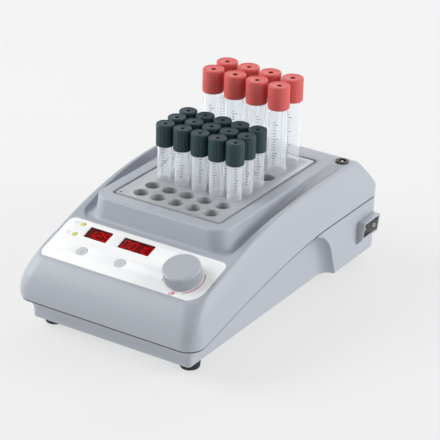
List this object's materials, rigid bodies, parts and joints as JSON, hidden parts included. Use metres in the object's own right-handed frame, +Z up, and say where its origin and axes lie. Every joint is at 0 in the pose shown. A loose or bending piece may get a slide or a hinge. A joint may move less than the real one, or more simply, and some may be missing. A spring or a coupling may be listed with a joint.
{
  "type": "dry bath incubator",
  "caption": "Dry bath incubator: wedge-shaped bench case with a sloping control panel, an aluminium heating block with tube holes, and capped glass tubes standing in it.",
  "frame": {"origin": "bench level under the middle of the whole part", "axes": "+Z up, +Y from the control panel to the back, +X to the right for a user at the panel"},
  "size_m": [0.1811, 0.2971, 0.1734],
  "materials": {
    "housing": "fine even texture",
    "overlay": "printed film",
    "window_red": "dark red filter",
    "display": "segment display",
    "lamp": "tinted lens",
    "circuit_board": "lacquered board",
    "screw_steel": "zinc plated",
    "sheet_steel": "plain",
    "black_plastic": "moulded",
    "rocker_black": "polished",
    "key_film": "printed",
    "knob_plastic": "moulded, fine ridges",
    "block_aluminium": "satin",
    "rim_plastic": "moulded",
    "well_aluminium": "plain",
    "heater_rubber": "silicone",
    "pad_fibre": "glass fibre",
    "tube_glass": "clear",
    "cap_dark": "moulded, ribbed",
    "cap_red": "moulded, ribbed",
    "foot_rubber": "matt",
    "contact_brass": "plain",
    "relay_case": "moulded",
    "terminal_green": "moulded",
    "fuse_glass": "clear"
  },
  "bodies": {
    "case": {"top_cover": "housing", "base_shell": "housing", "panel_overlay": "overlay", "temp_window": "window_red", "time_window": "window_red", "temp_display": "display", "time_display": "display", "status_lamps": "lamp", "control_board": "circuit_board", "control_board_screws": "screw_steel", "key_switches": "black_plastic", "encoder_body": "sheet_steel", "block_surround": "rim_plastic", "heating_well": "well_aluminium", "well_standoffs": "sheet_steel", "well_screws": "screw_steel", "heater_mat": "heater_rubber", "insulation_pad": "pad_fibre", "temperature_sensor": "sheet_steel", "thermal_cutout": "black_plastic", "main_board": "circuit_board", "main_board_screws": "screw_steel", "power_module": "black_plastic", "relay": "relay_case", "heat_sink": "block_aluminium", "terminal_block": "terminal_green", "switch_body": "black_plastic", "mains_inlet": "black_plastic", "inlet_screws": "screw_steel", "sensor_socket": "black_plastic", "socket_contact": "contact_brass", "case_screws": "screw_steel", "feet": "foot_rubber", "foot_screws": "screw_steel"},
    "block": {"heating_block": "block_aluminium"},
    "small_tubes_a": {"small_tubes_row_3": "tube_glass", "small_caps_row_3": "cap_dark"},
    "small_tubes_b": {"small_tubes_row_4": "tube_glass", "small_caps_row_4": "cap_dark"},
    "small_tubes_c": {"small_tubes_row_5": "tube_glass", "small_caps_row_5": "cap_dark"},
    "large_tubes_a": {"large_tubes_row_1": "tube_glass", "large_caps_row_1": "cap_red"},
    "large_tubes_b": {"large_tubes_row_2": "tube_glass", "large_caps_row_2": "cap_red"},
    "rotor": {"encoder_rotor": "black_plastic"},
    "knob": {"knob_shaft": "sheet_steel", "control_knob": "knob_plastic"},
    "temp_key": {"temp_key": "key_film"},
    "time_key": {"time_key": "key_film"},
    "rocker": {"power_rocker": "rocker_black"},
    "drawer": {"fuse_drawer": "black_plastic", "fuse": "fuse_glass"}
  },
  "joints": [
    {"name": "block_lift", "type": "slide", "parent": "case", "child": "block", "axis": [0, 0, 1], "range_m": [0, 0.06]},
    {"name": "small_tubes_a_lift", "type": "slide", "parent": "block", "child": "small_tubes_a", "axis": [0, 0, 1], "range_m": [0, 0.04]},
    {"name": "small_tubes_b_lift", "type": "slide", "parent": "block", "child": "small_tubes_b", "axis": [0, 0, 1], "range_m": [0, 0.04]},
    {"name": "small_tubes_c_lift", "type": "slide", "parent": "block", "child": "small_tubes_c", "axis": [0, 0, 1], "range_m": [0, 0.04]},
    {"name": "large_tubes_a_lift", "type": "slide", "parent": "block", "child": "large_tubes_a", "axis": [0, 0, 1], "range_m": [0, 0.04]},
    {"name": "large_tubes_b_lift", "type": "slide", "parent": "block", "child": "large_tubes_b", "axis": [0, 0, 1], "range_m": [0, 0.04]},
    {"name": "knob_turn", "type": "hinge", "parent": "case", "child": "rotor", "pos_m": [0.0479, -0.10965, 0.06822], "axis": [0, -0.309, 0.9511], "continuous": true},
    {"name": "knob_press", "type": "slide", "parent": "rotor", "child": "knob", "axis": [0, 0.309, -0.9511], "range_m": [0, 0.0008], "stiffness_N_per_m": 800, "springref_m": -0.0005},
    {"name": "temp_key_press", "type": "slide", "parent": "case", "child": "temp_key", "axis": [0, 0.309, -0.9511], "range_m": [0, 0.0005], "stiffness_N_per_m": 400, "springref_m": -0.0003},
    {"name": "time_key_press", "type": "slide", "parent": "case", "child": "time_key", "axis": [0, 0.309, -0.9511], "range_m": [0, 0.0005], "stiffness_N_per_m": 400, "springref_m": -0.0003},
    {"name": "power_switch", "type": "hinge", "parent": "case", "child": "rocker", "pos_m": [0.0843, 0.11995, 0.0351], "axis": [0, 0, 1], "range_deg": [0, 18]},
    {"name": "drawer_pull", "type": "slide", "parent": "case", "child": "drawer", "axis": [0, 1, 0], "range_m": [0, 0.016]}
  ]
}
